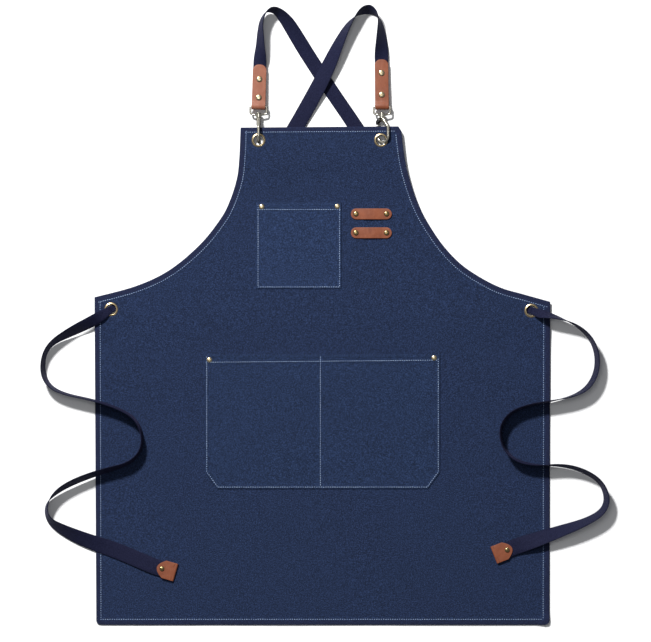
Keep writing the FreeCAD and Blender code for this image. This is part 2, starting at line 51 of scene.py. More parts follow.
# --- sizes, in metres ---
W = 0.0244                      # webbing width
WEBBING = 0.0015                # webbing thickness
CLOTH = 0.001
HALF_WIDTH = 0.3495
HEM_Y = -0.4757
CORNER = 0.007
BIB_TOP = 0.2881                # middle of the bib's top edge
REST_PROFILE = ((-0.48, 0), (-0.165, 0), (-0.1, 0.0015), (-0.05, 0.0015), (-0.015, 0.004),
                (0.19, 0.004), (0.245, 0.009), (0.3, 0.009))
LEFT_ARMHOLE = ((-0.1253, 0.2872), (-0.1275, 0.238), (-0.1315, 0.207), (-0.143, 0.172),
                (-0.157, 0.146), (-0.188, 0.1075), (-0.234, 0.069), (-0.285, 0.0445),
                (-0.3495, 0.027))
RIGHT_ARMHOLE = ((0.121, 0.281), (0.1265, 0.238), (0.134, 0.207), (0.146, 0.172),
                 (0.16, 0.144), (0.1835, 0.1085), (0.211, 0.079), (0.242, 0.0575),
                 (0.274, 0.0415), (0.3065, 0.032), (0.3495, 0.02))
BIB_GROMMETS = {"left": (-0.098, 0.268), "right": (0.0898, 0.268)}
WAIST_GROMMETS = {"left": (-0.324, 0.0085), "right": (0.3207, 0.0065)}
CHEST_POCKET = (-0.1012, 0.0402, 0.029, 0.172)
LOWER_POCKET = (-0.18, -0.267, 0.1805, -0.061)
LOWER_CHAMFER = (0.0185, 0.025)
CHEST_RIVETS = ((-0.093, 0.166), (0.023, 0.1665))
LOWER_RIVETS = ((-0.1735, -0.069), (0.1715, -0.066))
LOOPS = {"upper": (0.075, 0.155), "lower": (0.075, 0.126)}
LOOP_RIVET = 0.0235             # from the loop's middle
RING = {"left": (-0.098, 0.320, 0.010), "right": (0.0913, 0.320, 0.010)}
TAB_LENGTH = {"left": 0.064, "right": 0.072}
TAB_LEAN = {"left": -1.8, "right": 0.5}
TAB_SLOPE = {"left": -3.0, "right": -4.0}
TAB_RIVETS = {"left": (0.0133, 0.0415), "right": (0.0175, 0.051)}
TIP_END = {"left": (-0.227, -0.395, 0.0041), "right": (0.265, -0.368, 0.0041)}
TIP_ANGLE = {"left": 163.7, "right": 21.5}
PANEL_HEM = (0.0092, 0.00042)   # width, extra height of the folded cloth
POCKET_HEM = (0.0033, 0.0006)
HEM_TINT_WIDTH = 0.0076
GROMMET_HOLE = 0.0085           # radius cut in the canvas
CLOTH_EDGE = 0.00028            # rounding of a cut or folded edge
THREAD_LIFT = 0.0006            # of a pocket's stitches above the cloth
RIVET_RADIUS = {"canvas": 0.0042, "tab": 0.0046, "tip": 0.0038}
LOOP_HALF_LENGTH = 0.03125
LOOP_HALF_WIDTH = 0.0082
TAB_WIDTH = 0.021
TIP_LENGTH = 0.028
TIP_WIDTH = 0.0275
EYELET = (                      # (radius, height above the cloth)
    (0.0082, 0.0), (0.0108, 0.0), (0.0110, 0.0002), (0.0108, 0.0006), (0.0102, 0.00095),
    (0.0095, 0.00125), (0.0088, 0.0015), (0.0083, 0.00155), (0.0079, 0.0013),
    (0.0076, 0.0007), (0.0075, -0.0019), (0.0078, -0.0023), (0.0086, -0.0024),
    (0.0092, -0.0021), (0.0092, -0.0018), (0.0082, -0.0018))
CREASES = (                     # (x, y) to (x, y), depth and half width
    (-0.338, -0.052, -0.296, -0.012, 0.0009, 0.010),
    (-0.300, -0.060, -0.262, -0.020, -0.0006, 0.012),
    (0.300, -0.020, 0.262, -0.060, 0.0006, 0.011),
    (0.318, -0.040, 0.300, -0.085, 0.0005, 0.009),
    (-0.070, 0.205, 0.060, 0.222, 0.0004, 0.012),
)

STRAP_ROUTES = {
    "left": (
        (-0.0959, 0.3843, 0.0067, 0, 0.02), (-0.0955, 0.396, 0.0086, -28, 0.021),
        (-0.095, 0.41, 0.012, -54, 0.023), (-0.095, 0.43, 0.0154, -66, W),
        (-0.094, 0.45, 0.018, -77, W), (-0.087, 0.465, 0.0178, -88, W),
        (-0.078, 0.469, 0.0154, -110, W), (-0.067, 0.465, 0.0136, -122, W),
        (-0.0532, 0.4494, 0.0092, -143, W), (-0.04, 0.4276, 0.0058, -160, 0.023),
        (-0.0198, 0.3948, 0.0018, -177, 0.022), (0.0142, 0.3428, 0.001, -180, 0.022),
        (0.0502, 0.2908, 0.001, -180, 0.022), (0.086, 0.233, 0.001, -180, W),
        (0.12, 0.176, 0.001, -180, W), (0.155, 0.116, 0.001, -180, W), (0.2, 0.064, 0.001, -180, W),
        (0.252, 0.031, 0.001, -180, W), (0.297, 0.015, 0.001, -180, 0.018),
        (0.3157, 0.0085, 0.001, -180, 0.011), (0.3207, 0.0065, 0.0044, -180, 0.011),
    ),
    "right": (
        (0.0907, 0.3921, 0.005, 0, 0.021), (0.0908, 0.403, 0.0068, 18, 0.022),
        (0.0906, 0.416, 0.0096, 42, 0.024), (0.09, 0.434, 0.0126, 58, W),
        (0.088, 0.4525, 0.014, 80, W), (0.0825, 0.463, 0.0132, 104, W),
        (0.073, 0.469, 0.011, 127, W), (0.062, 0.4672, 0.012, 118, W),
        (0.0505, 0.4588, 0.0134, 90, W), (0.0386, 0.443, 0.0122, 68, W),
        (0.0265, 0.4195, 0.0108, 52, W), (0.012, 0.387, 0.0092, 28, W),
        (-0.004, 0.354, 0.0066, 14, W), (-0.022, 0.321, 0.0038, 5, W), (-0.04, 0.289, 0.002, 0, W),
        (-0.08, 0.224, 0.001, 0, W), (-0.122, 0.158, 0.001, 0, W), (-0.17, 0.096, 0.001, 0, W),
        (-0.226, 0.052, 0.001, 0, W), (-0.292, 0.025, 0.001, 0, 0.018),
        (-0.3195, 0.0114, 0.001, 0, 0.011), (-0.324, 0.0085, 0.0044, 0, 0.011),
    ),
}
TIE_ROUTES = {
    "left": (
        (-0.324, 0.0085, 0.0044, 0, 0.011), (-0.33066, 0.00421, 0.00943, 0, 0.012),
        (-0.349, -0.008, 0.0154, -38, 0.022), (-0.384, -0.025, 0.0136, -54, W),
        (-0.415, -0.042, 0.013, -73, W), (-0.428, -0.062, 0.0128, -78, W),
        (-0.429, -0.091, 0.0126, -73, W), (-0.418, -0.111, 0.0127, -79, W),
        (-0.394, -0.122, 0.0132, -84, W), (-0.354, -0.13, 0.0148, -85, W),
        (-0.318, -0.141, 0.0146, -85, W), (-0.288, -0.157, 0.0138, -84, W),
        (-0.275, -0.183, 0.0136, -83, W), (-0.278, -0.21, 0.0136, -82, W),
        (-0.298, -0.229, 0.0137, -80, W), (-0.335, -0.239, 0.014, -71, W),
        (-0.378, -0.254, 0.016, -68, W), (-0.407, -0.27, 0.0154, -74, W),
        (-0.424, -0.29, 0.0138, -98, W), (-0.422, -0.312, 0.0129, -108, W),
        (-0.404, -0.327, 0.0108, -130, W), (-0.366, -0.345, 0.0068, -157, W),
        (-0.314, -0.362, 0.003, -180, W), (-0.2616, -0.3849, 0.0041, -180, W),
        (-0.2479, -0.3889, 0.0041, -180, W),
    ),
    "right": (
        (0.3207, 0.0065, 0.0044, 0, 0.011), (0.3281, 0.00354, 0.00943, 0, 0.012),
        (0.343, 0, 0.0172, -62, 0.02), (0.365, -0.005, 0.0182, -84, W),
        (0.391, -0.016, 0.0146, -98, W), (0.412, -0.035, 0.0129, -103, W),
        (0.422, -0.06, 0.0127, -106, W), (0.421, -0.088, 0.0126, -107, W),
        (0.408, -0.112, 0.0125, -106, W), (0.385, -0.125, 0.0132, -95, W),
        (0.352, -0.132, 0.0149, -86, W), (0.316, -0.138, 0.0147, -82, W),
        (0.287, -0.15, 0.0138, -80, W), (0.272, -0.172, 0.0137, -81, W),
        (0.276, -0.202, 0.0137, -81, W), (0.294, -0.223, 0.0137, -82, W),
        (0.326, -0.231, 0.0138, -86, W), (0.368, -0.23, 0.014, -102, W),
        (0.402, -0.239, 0.0135, -105, W), (0.428, -0.256, 0.013, -104, W),
        (0.438, -0.282, 0.0128, -110, W), (0.43, -0.303, 0.0126, -112, W),
        (0.403, -0.3185, 0.0122, -117, W), (0.362, -0.333, 0.0108, -137, W),
        (0.321, -0.3475, 0.0064, -160, W), (0.2985, -0.3548, 0.0041, -180, W),
        (0.2853, -0.36, 0.0041, -180, W),
    ),
}


# --- node materials ---
class Paint:
    """A material's node tree, built by calls that take sockets or plain values."""

    def __init__(self, name, roughness, metallic=0.0, **settings):
        self.material = bpy.data.materials.new(name)
        self.material.use_nodes = True
        self.tree = self.material.node_tree
        self.shader = self.tree.nodes["Principled BSDF"]
        self.shader.inputs["Roughness"].default_value = roughness
        self.shader.inputs["Metallic"].default_value = metallic
        for socket, value in settings.items():
            self.shader.inputs[socket.replace("_", " ")].default_value = value
        outputs = self.add("ShaderNodeTexCoord").outputs
        self.place = outputs["Object"]
        self.uv = outputs["UV"]
        self.facing = outputs["Normal"]

    def add(self, kind, inputs=None, **settings):
        made = self.tree.nodes.new(kind)
        for name, value in settings.items():
            setattr(made, name, value)
        for key, value in (inputs or {}).items():
            self.feed(made.inputs[key], value)
        return made

    def feed(self, socket, value):
        if isinstance(value, bpy.types.NodeSocket):
            self.tree.links.new(value, socket)
        else:
            socket.default_value = value

    def scaled(self, vector, scale):
        return self.add("ShaderNodeMapping", {"Vector": vector, "Scale": scale}).outputs[0]

    def noise(self, scale, detail, roughness, stretch=(1, 1, 1)):
        where = self.scaled(self.place, stretch)
        made = self.add("ShaderNodeTexNoise", {"Vector": where, "Scale": scale, "Detail": detail,
                                               "Roughness": roughness})
        return made.outputs["Fac"]

    def wave(self, pitch, direction, distortion):
        """Sine bands of that pitch in metres."""
        made = self.add("ShaderNodeTexWave", {"Vector": self.place,
                                              "Scale": math.pi / 10 / pitch,
                                              "Distortion": distortion, "Detail": 1.0},
                        wave_type="BANDS", bands_direction=direction)
        return made.outputs["Fac"]

    def math(self, operation, a, b=0.0, c=0.0):
        return self.add("ShaderNodeMath", {0: a, 1: b, 2: c}, operation=operation).outputs[0]

    def span(self, value, low, high, to_low=0.0, to_high=1.0):
        made = self.add("ShaderNodeMapRange", {"Value": value, "From Min": low, "From Max": high,
                                               "To Min": to_low, "To Max": to_high})
        return made.outputs["Result"]

    def mix(self, share, a, b):
        made = self.add("ShaderNodeMix", data_type="RGBA")
        self.feed(made.inputs["Factor"], share)
        self.feed(made.inputs["A"], a)
        self.feed(made.inputs["B"], b)
        return made.outputs["Result"]

    def bump(self, height, distance, strength=1.0, below=None):
        inputs = {"Height": height, "Distance": distance, "Strength": strength}
        if below is not None:
            inputs["Normal"] = below
        return self.add("ShaderNodeBump", inputs).outputs["Normal"]

    def finish(self, color, normal=None, roughness=None):
        self.feed(self.shader.inputs["Base Color"], color)
        if normal is not None:
            self.feed(self.shader.inputs["Normal"], normal)
        if roughness is not None:
            self.feed(self.shader.inputs["Roughness"], roughness)
        return self.material


def rgba(red, green, blue):
    return (red, green, blue, 1.0)


def srgb(red, green, blue):
    """Linear colour from 8-bit display values."""
    def linear(value):
        value = value / 255
        return value / 12.92 if value <= 0.04045 else ((value + 0.055) / 1.055) ** 2.4
    return (linear(red), linear(green), linear(blue), 1.0)


def darker(color, share):
    return tuple(channel * share for channel in color[:3]) + (1.0,)


def lighter(color, share):
    """A faded version of a dye: brighter, and a little greyer."""
    grey = sum(color[:3]) / 3 * 0.25
    return tuple(channel * share * 0.85 + grey for channel in color[:3]) + (1.0,)


def canvas_material(name, color):
    """Plain-woven cotton: thick and thin yarns both ways, and a salt-and-pepper nap."""
    paint = Paint(name, 0.88, Sheen_Weight=0.06, Sheen_Roughness=0.4,
                  Sheen_Tint=(0.5, 0.6, 0.85, 1.0), Specular_IOR_Level=0.18)
    warp = paint.wave(0.00095, "X", distortion=0.35)
    weft = paint.wave(0.00105, "Y", distortion=0.35)
    over = paint.math("MULTIPLY", paint.math("SUBTRACT", warp, 0.5), paint.math("SUBTRACT", weft, 0.5))
    over = paint.math("MULTIPLY_ADD", over, 2.0, 0.5)
    slubs = paint.math("ADD", paint.noise(620, 2, 0.6, stretch=(0.22, 1, 1)),
                       paint.noise(620, 2, 0.6, stretch=(1, 0.22, 1)))
    patches = paint.noise(9.0, 5, 0.6)
    nap = paint.noise(640, 2, 0.7)
    coarse = paint.noise(500, 2, 0.5)
    tone = paint.mix(paint.span(patches, 0.3, 0.7), darker(color, 0.84), darker(color, 1.16))
    tone = paint.mix(paint.span(slubs, 0.78, 1.22), darker(color, 0.6), tone)
    tone = paint.mix(paint.span(nap, 0.42, 0.66), tone, lighter(color, 2.5))
    tone = paint.mix(paint.span(coarse, 0.38, 0.56, 0.6, 0.0), tone, darker(color, 0.4))
    tone = paint.mix(paint.span(over, 0.2, 0.45, 0.3, 0.0), tone, darker(color, 0.4))
    hem = paint.add("ShaderNodeAttribute", attribute_name="hem").outputs["Fac"]
    tone = paint.mix(paint.math("MULTIPLY", hem, 0.55), tone, rgba(0.0105, 0.0105, 0.034))
    weave = paint.bump(over, 0.00022, 0.9)
    yarns = paint.bump(slubs, 0.0003, 0.8, below=weave)
    naps = paint.bump(nap, 0.0004, 0.7, below=yarns)
    rumple = paint.bump(paint.noise(34, 4, 0.6), 0.0009, 0.5, below=naps)
    return paint.finish(tone, rumple, paint.span(nap, 0.3, 0.7, 0.8, 0.95))


def webbing_material(name, color, light):
    """Flat-woven tape: ribs across it, yarn columns along it and a firm edge.

    The UV map runs along the tape in metres, and across it from 0 to 1.
    """
    paint = Paint(name, 0.72, Sheen_Weight=0.03, Sheen_Roughness=0.35,
                  Sheen_Tint=(0.5, 0.45, 0.9, 1.0), Specular_IOR_Level=0.08)
    parts = paint.add("ShaderNodeSeparateXYZ", {0: paint.uv})
    along = parts.outputs[0]
    across = parts.outputs[1]
    column = paint.math("MULTIPLY", across, 15.0)
    shift = paint.math("PINGPONG", column, 1.0)
    phase = paint.math("MULTIPLY_ADD", along, 1 / 0.0021, paint.math("MULTIPLY", shift, 0.7))
    rib = paint.math("SINE", paint.math("MULTIPLY", phase, math.tau))
    groove = paint.math("SINE", paint.math("MULTIPLY", column, math.pi))
    groove = paint.math("ABSOLUTE", groove)
    height = paint.math("MULTIPLY_ADD", rib, 0.3, groove)
    edge = paint.math("ABSOLUTE", paint.math("SUBTRACT", across, 0.5))
    fuzz = paint.noise(700, 3, 0.7)
    tone = paint.mix(paint.span(rib, -0.6, 0.9), darker(color, 0.75), darker(color, 1.25))
    tone = paint.mix(paint.span(groove, 0.0, 0.5, 0.45, 0.0), tone, darker(color, 0.45))
    tone = paint.mix(paint.span(fuzz, 0.4, 0.75, 0.0, 0.55), tone, light)
    tone = paint.mix(paint.span(edge, 0.455, 0.49, 0.0, 0.5), tone, darker(color, 0.6))
    weave = paint.bump(height, 0.00022, 0.8)
    return paint.finish(tone, paint.bump(fuzz, 0.00012, 0.6, below=weave))


def leather_material(name, color, dark, light):
    """Smooth tanned hide: fine grain, mottled dye, lighter streaks and scuffs."""
    paint = Paint(name, 0.5, Specular_IOR_Level=0.3)
    cells = paint.add("ShaderNodeTexVoronoi", {"Vector": paint.place, "Scale": 1300.0,
                                               "Randomness": 1.0}, feature="DISTANCE_TO_EDGE")
    pores = cells.outputs["Distance"]
    mottle = paint.noise(70, 5, 0.6)
    streak = paint.noise(240, 4, 0.65, stretch=(1, 0.25, 1))
    scuff = paint.noise(420, 5, 0.75)
    tone = paint.mix(paint.span(mottle, 0.32, 0.68), dark, color)
    tone = paint.mix(paint.span(streak, 0.5, 0.75, 0.0, 0.25), tone, light)
    tone = paint.mix(paint.span(scuff, 0.66, 0.82, 0.0, 0.4), tone, light)
    tone = paint.mix(paint.span(pores, 0.0, 0.06, 0.35, 0.0), tone, darker(dark, 0.6))
    normal = paint.bump(pores, 0.00012, 0.55)
    normal = paint.bump(mottle, 0.0004, 0.25, below=normal)
    rough = paint.span(scuff, 0.35, 0.75, 0.42, 0.68)
    return paint.finish(tone, normal, rough)


def metal_material(name, color, tarnish_and_shade, roughness, worn_roughness, side_shade=1.0,
                   reach=0.85):
    """Plated metal: bright where it is rubbed, tarnished in clouds, with painted shade on its sides
    that stands in for dark reflections.
    """
    paint = Paint(name, roughness, metallic=1.0)
    cloud = paint.noise(260, 5, 0.6)
    fine = paint.noise(1500, 3, 0.7)
    scratch = paint.noise(900, 2, 0.6, stretch=(1, 0.08, 1))
    facing = paint.add("ShaderNodeSeparateXYZ", {0: paint.facing}).outputs[2]
    ragged = paint.math("MULTIPLY_ADD", paint.math("SUBTRACT", cloud, 0.5), 0.25, facing)
    # painted shade on the sides: where the normal tips away from up, the colour darkens and turns less
    # metallic and rougher, in place of dark reflections
    side = paint.span(ragged, reach - 0.25, reach, side_shade, 0.0)
    tone = paint.mix(paint.span(cloud, 0.42, 0.7, 0.0, 0.6), color, tarnish_and_shade)
    tone = paint.mix(paint.span(scratch, 0.6, 0.8, 0.0, 0.4), tone, darker(color, 1.15))
    # the painted side shade: a darkened tarnish colour laid over the sides
    tone = paint.mix(side, tone, darker(tarnish_and_shade, 0.3))
    paint.feed(paint.shader.inputs["Metallic"], paint.math("SUBTRACT", 1.0, side))
    rough = paint.math("ADD", paint.span(cloud, 0.35, 0.7, roughness, worn_roughness),
                       paint.math("MULTIPLY", side, 0.3))
    normal = paint.bump(fine, 0.00002, 0.5)
    return paint.finish(tone, paint.bump(scratch, 0.00002, 0.4, below=normal), rough)


def enamel_material(name, color):
    """Black oxide on steel, rubbed grey in places."""
    paint = Paint(name, 0.42, metallic=0.3, Specular_IOR_Level=0.5)
    rub = paint.noise(600, 4, 0.7)
    tone = paint.mix(paint.span(rub, 0.58, 0.75, 0.0, 0.6), color, rgba(0.16, 0.155, 0.15))
    return paint.finish(tone, paint.bump(rub, 0.00004, 0.5), paint.span(rub, 0.3, 0.7, 0.32, 0.55))


def thread_material(name, color, dark):
    """Twisted cotton thread."""
    paint = Paint(name, 0.8, Sheen_Weight=0.15, Specular_IOR_Level=0.25)
    twist = paint.noise(2600, 2, 0.5)
    dye = paint.noise(90, 3, 0.6)
    tone = paint.mix(paint.span(dye, 0.35, 0.65), color, dark)
    tone = paint.mix(paint.span(twist, 0.4, 0.7, 0.0, 0.4), tone, darker(dark, 0.7))
    return paint.finish(tone, paint.bump(twist, 0.00006, 0.8))


def floor_material():
    paint = Paint("studio_floor", 0.95, Specular_IOR_Level=0.05)
    grain = paint.noise(3.0, 2, 0.5)
    return paint.finish(paint.mix(grain, rgba(0.92, 0.92, 0.92), rgba(0.93, 0.93, 0.93)))


# --- meshes ---
def piece(name, mesh, body, slot, material, *stands_for):
    """A finished piece that rides on a body and stands for nodes."""
    mesh.name = name
    made = bpy.data.objects.new(name, mesh)
    SCENE.collection.objects.link(made)
    mesh.materials.clear()
    mesh.materials.append(material)
    if body:
        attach(made, body)
    if stands_for:
        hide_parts(*stands_for)
    return made


def mesh_of(points, faces):
    mesh = bpy.data.meshes.new("mesh")
    mesh.from_pydata([tuple(point) for point in points], [], faces)
    mesh.validate()
    mesh.shade_smooth()
    return mesh


def grid_faces(rows, columns, closed=False):
    faces = []
    wrap = columns if closed else columns - 1
    for i in range(rows - 1):
        for j in range(wrap):
            k = (j + 1) % columns
            faces.append((i * columns + j, i * columns + k, (i + 1) * columns + k,
                          (i + 1) * columns + j))
    return faces


def modified(mesh, *steps):
    """The mesh after a list of (modifier type, settings)."""
    holder = bpy.data.objects.new("holder", mesh)
    SCENE.collection.objects.link(holder)
    for kind, settings in steps:
        modifier = holder.modifiers.new(kind, kind)
        for name, value in settings.items():
            setattr(modifier, name, value)
    depsgraph = bpy.context.evaluated_depsgraph_get()
    made = bpy.data.meshes.new_from_object(holder.evaluated_get(depsgraph))
    bpy.data.objects.remove(holder)
    return made


def thickened(mesh, thickness, bevel, segments=2):
    """A sheet given its thickness, with softened edges."""
    return modified(
        mesh,
        ("SOLIDIFY", {"thickness": thickness, "offset": 0.0, "use_even_offset": False}),
        ("BEVEL", {"width": bevel, "segments": segments, "limit_method": "ANGLE",
                   "angle_limit": math.radians(50)}))


def lathe(profile, centre, frame_matrix=None, sides=40):
    """A surface of revolution about +Z from (radius, height) points, at a centre."""
    points = []
    for radius, height in profile:
        for k in range(sides):
            angle = math.tau * k / sides
            points.append(Vector((radius * math.cos(angle), radius * math.sin(angle), height)))
    place = Matrix.Translation(Vector(centre))
    if frame_matrix is not None:
        place = frame_matrix @ place
    return [place @ point for point in points], grid_faces(len(profile), sides, closed=True)


def joined(parts):
    """One point list and face list from several."""
    points = []
    faces = []
    for some_points, some_faces in parts:
        base = len(points)
        points.extend(some_points)
        faces.extend(tuple(base + k for k in face) for face in some_faces)
    return points, faces


def spline_points(route, steps=8):
    """Points of the smooth curve that has the route's points as its control points."""
    curve = bpy.data.curves.new("route", "CURVE")
    curve.dimensions = "3D"
    spline = curve.splines.new("NURBS")
    spline.points.add(len(route) - 1)
    for control, point in zip(spline.points, route):
        control.co = (point[0], point[1], point[2], 1.0)
    spline.order_u = 3
    spline.use_endpoint_u = True
    spline.resolution_u = steps
    holder = bpy.data.objects.new("route", curve)
    mesh = bpy.data.meshes.new_from_object(holder)
    points = [vertex.co.copy() for vertex in mesh.vertices]
    bpy.data.objects.remove(holder)
    bpy.data.meshes.remove(mesh)
    return points


def run_length(points):
    return sum((b - a).length for a, b in zip(points, points[1:]))


def ribbon_line(route):
    """(centre, sideways direction, width) all along a route of (x, y, z, roll, width)."""
    centres = [Vector(step[:3]) for step in route]
    edges = []
    for i, step in enumerate(route):
        ahead = centres[min(i + 1, len(centres) - 1)]
        heading = (ahead - centres[max(i - 1, 0)]).normalized()
        level = Vector((-heading.y, heading.x, 0)).normalized()
        angle = math.radians(step[3])
        side = level * math.cos(angle) + heading.cross(level) * math.sin(angle)
        edges.append(centres[i] + side * 0.01)
    widths = [(0, i * 0.01, step[4]) for i, step in enumerate(route)]
    middle = spline_points(centres)
    edge = spline_points(edges)
    width = spline_points(widths)
    return [(c, (e - c).normalized(), w.z) for c, e, w in zip(middle, edge, width)]


TAPE = ((-0.5, 0.0), (-0.492, 0.33), (-0.47, 0.5), (-0.24, 0.52), (0.0, 0.5), (0.24, 0.52),
        (0.47, 0.5), (0.492, 0.33), (0.5, 0.0), (0.492, -0.33), (0.47, -0.5), (0.24, -0.52),
        (0.0, -0.5), (-0.24, -0.52), (-0.47, -0.5), (-0.492, -0.33))


def ribbon_mesh(line, start=0.0):
    """Webbing along a ribbon line, with its weave's UV map."""
    count = len(TAPE)
    points = []
    along = []
    travelled = start
    for i, (centre, side, width) in enumerate(line):
        before = line[max(i - 1, 0)][0]
        after = line[min(i + 1, len(line) - 1)][0]
        if i:
            travelled += (centre - before).length
        along.append(travelled)
        face_normal = (after - before).normalized().cross(side).normalized()
        for across, skin in TAPE:
            points.append(centre + side * (across * width) + face_normal * (skin * WEBBING))
    faces = grid_faces(len(line), count, closed=True)
    faces.append(tuple(range(count))[::-1])
    faces.append(tuple((len(line) - 1) * count + k for k in range(count)))
    mesh = mesh_of(points, faces)
    layer = mesh.uv_layers.new(name="weave")
    for loop in mesh.loops:
        row, column = divmod(loop.vertex_index, count)
        layer.data[loop.index].uv = (along[row], TAPE[column][0] + 0.5)
    return mesh


STITCH_SIDES = grid_faces(5, 6, closed=True)


def stitch(points, faces, centre, heading, up, length, width):
    """One stitch: a short thread that dips into the cloth at both ends."""
    across = heading.cross(up).normalized()
    base = len(points)
    for share, size, lift in ((-0.5, 0.3, -0.5), (-0.32, 1.0, 0.12), (0.0, 1.1, 0.3),
                              (0.32, 1.0, 0.12), (0.5, 0.3, -0.5)):
        middle = centre + heading * (share * length) + up * (lift * width)
        for k in range(6):
            angle = math.tau * k / 6
            points.append(middle + across * (math.cos(angle) * size * width / 2)
                          + up * (math.sin(angle) * size * width / 2))
    faces.extend(tuple(base + k for k in face) for face in STITCH_SIDES)
    faces.append(tuple(base + k for k in range(6))[::-1])
    faces.append(tuple(base + 24 + k for k in range(6)))


def stitched_seam(seams, height, pitch=0.0035, length=0.0026, width=0.0010):
    """Stitches along plan lines, on a surface given by its height function."""
    points = []
    faces = []
    for seam in seams:
        dense = [Vector(point) for point in seam]
        left_over = 0.0
        for a, b in zip(dense, dense[1:]):
            run = (b - a).length
            at = left_over
            while at < run:
                here = a.lerp(b, at / run)
                heading = (b - a).normalized()
                wander = noise.noise(Vector((here.x * 300, here.y * 300, 1.7))) * 0.0003
                x = here.x - heading.y * wander
                y = here.y + heading.x * wander
                step = 0.001
                rise = height(x + heading.x * step, y + heading.y * step) - height(x, y)
                slope = Vector((heading.x, heading.y, rise / step)).normalized()
                stitch(points, faces, Vector((x, y, height(x, y))), slope, Vector((0, 0, 1)),
                       length, width)
                at += pitch
            left_over = at - run
    return mesh_of(points, faces)


# --- the cloth's shape ---
def smooth_curve(points, steps=12):
    """Catmull-Rom curve through plan points."""
    ends = [points[0]] + list(points) + [points[-1]]
    made = []
    for p0, p1, p2, p3 in zip(ends, ends[1:], ends[2:], ends[3:]):
        for k in range(steps):
            t = k / steps
            made.append(tuple(
                0.5 * (2 * b + (c - a) * t + (2 * a - 5 * b + 4 * c - d) * t * t
                       + (3 * b - a - 3 * c + d) * t ** 3)
                for a, b, c, d in zip(p0, p1, p2, p3)))
    made.append(tuple(points[-1]))
    return made


ARMHOLES = {"left": smooth_curve(LEFT_ARMHOLE), "right": smooth_curve(RIGHT_ARMHOLE)}


def smoothstep(low, high, value):
    share = min(1.0, max(0.0, (value - low) / (high - low)))
    return share * share * (3 - 2 * share)


def edges_at(y):
    """The panel's left and right edge at that height up the panel."""
    inset = 0.0
    if y < HEM_Y + CORNER:
        inset = CORNER - math.sqrt(max(0.0, CORNER ** 2 - (CORNER - (y - HEM_Y)) ** 2))
    taper = (y - HEM_Y) / 0.504
    left = -HALF_WIDTH + 0.0025 * (1 - taper)
    right = HALF_WIDTH - 0.001 * (1 - taper)
    for side in SIDES:
        curve = ARMHOLES[side]
        if y > curve[-1][1]:
            xs, ys = zip(*reversed(curve))
            x = float(np.interp(y, ys, xs))
            if side == "left":
                left = x
            else:
                right = x
    if y > 0.281:
        right = 0.121 - 0.005 * min(1.0, (y - 0.281) / 0.008)
    return left + inset, right - inset


def rest_height(y):
    ys, zs = zip(*REST_PROFILE)
    spread = [float(np.interp(y + shift, ys, zs)) for shift in (-0.018, -0.009, 0, 0.009, 0.018)]
    return sum(spread) / len(spread)


def crease(x, y, x0, y0, x1, y1, depth, half_width):
    """Height of a soft fold along a plan line; a positive depth sinks."""
    dx = x1 - x0
    dy = y1 - y0
    share = max(0.0, min(1.0, ((x - x0) * dx + (y - y0) * dy) / (dx * dx + dy * dy)))
    gap = math.hypot(x - x0 - share * dx, y - y0 - share * dy)
    fade = math.sin(math.pi * (0.1 + 0.8 * share))
    return -depth * fade * math.exp(-(gap / half_width) ** 2) if gap < 4 * half_width else 0.0


def cloth_rumple(x, y):
    """Slow waves and small creases left in the cloth."""
    broad = noise.noise(Vector((x * 7.0, y * 5.0, 0.3)))
    middle = noise.noise(Vector((x * 17.0, y * 15.0, 4.1)))
    small = noise.noise(Vector((x * 46.0, y * 42.0, 9.2)))
    creases = sum(crease(x, y, *line) for line in CREASES)
    return 0.0006 * (broad + 0.4) + 0.00028 * (middle + 0.4) + 0.00010 * small + creases


def cloth_top(x, y):
    """Height of the panel's upper face."""
    return rest_height(y) + CLOTH + 0.0002 + cloth_rumple(x, y)


# --- canvas ---
def spaced(low, high, step, fine, near):
    """Values from low to high, close together within near of each end."""
    values = set()
    count = int((high - low) / step)
    values.update(low + (high - low) * k / count for k in range(count + 1))
    k = 0.0
    while k < near:
        values.update((low + k, high - k))
        k += fine
    return sorted(values)


def panel_outline():
    left, right = edges_at(BIB_TOP)
    outline = [(left, BIB_TOP), (right, BIB_TOP), (0.121, 0.281)]
    outline += list(ARMHOLES["right"])[1:]
    outline += [(HALF_WIDTH - 0.001, HEM_Y), (0.0013 - HALF_WIDTH, HEM_Y)]
    outline += list(ARMHOLES["left"])[::-1]
    return np.array(outline)


def distance_to(outline, points):
    """Each point's distance to a closed plan outline."""
    best = np.full(len(points), 9.0)
    for start, end in zip(outline, np.roll(outline, -1, axis=0)):
        run = end - start
        size = float(run @ run)
        if size < 1e-14:
            continue
        share = np.clip(((points - start) @ run) / size, 0.0, 1.0)
        gap = points - (start + share[:, None] * run)
        best = np.minimum(best, np.hypot(gap[:, 0], gap[:, 1]))
    return best


def hem_lift(gap, width, lift):
    """Folded hem: thicker out to its stitching, pulled down along the stitches."""
    fold = lift * (1.0 - smoothstep(width, width + 0.0022, gap))
    roll = 0.0005 * (1.0 - smoothstep(0.0, 0.0011, gap))
    groove = 0.00026 * math.exp(-((gap - width + 0.0007) / 0.0007) ** 2)
    return fold - roll - groove


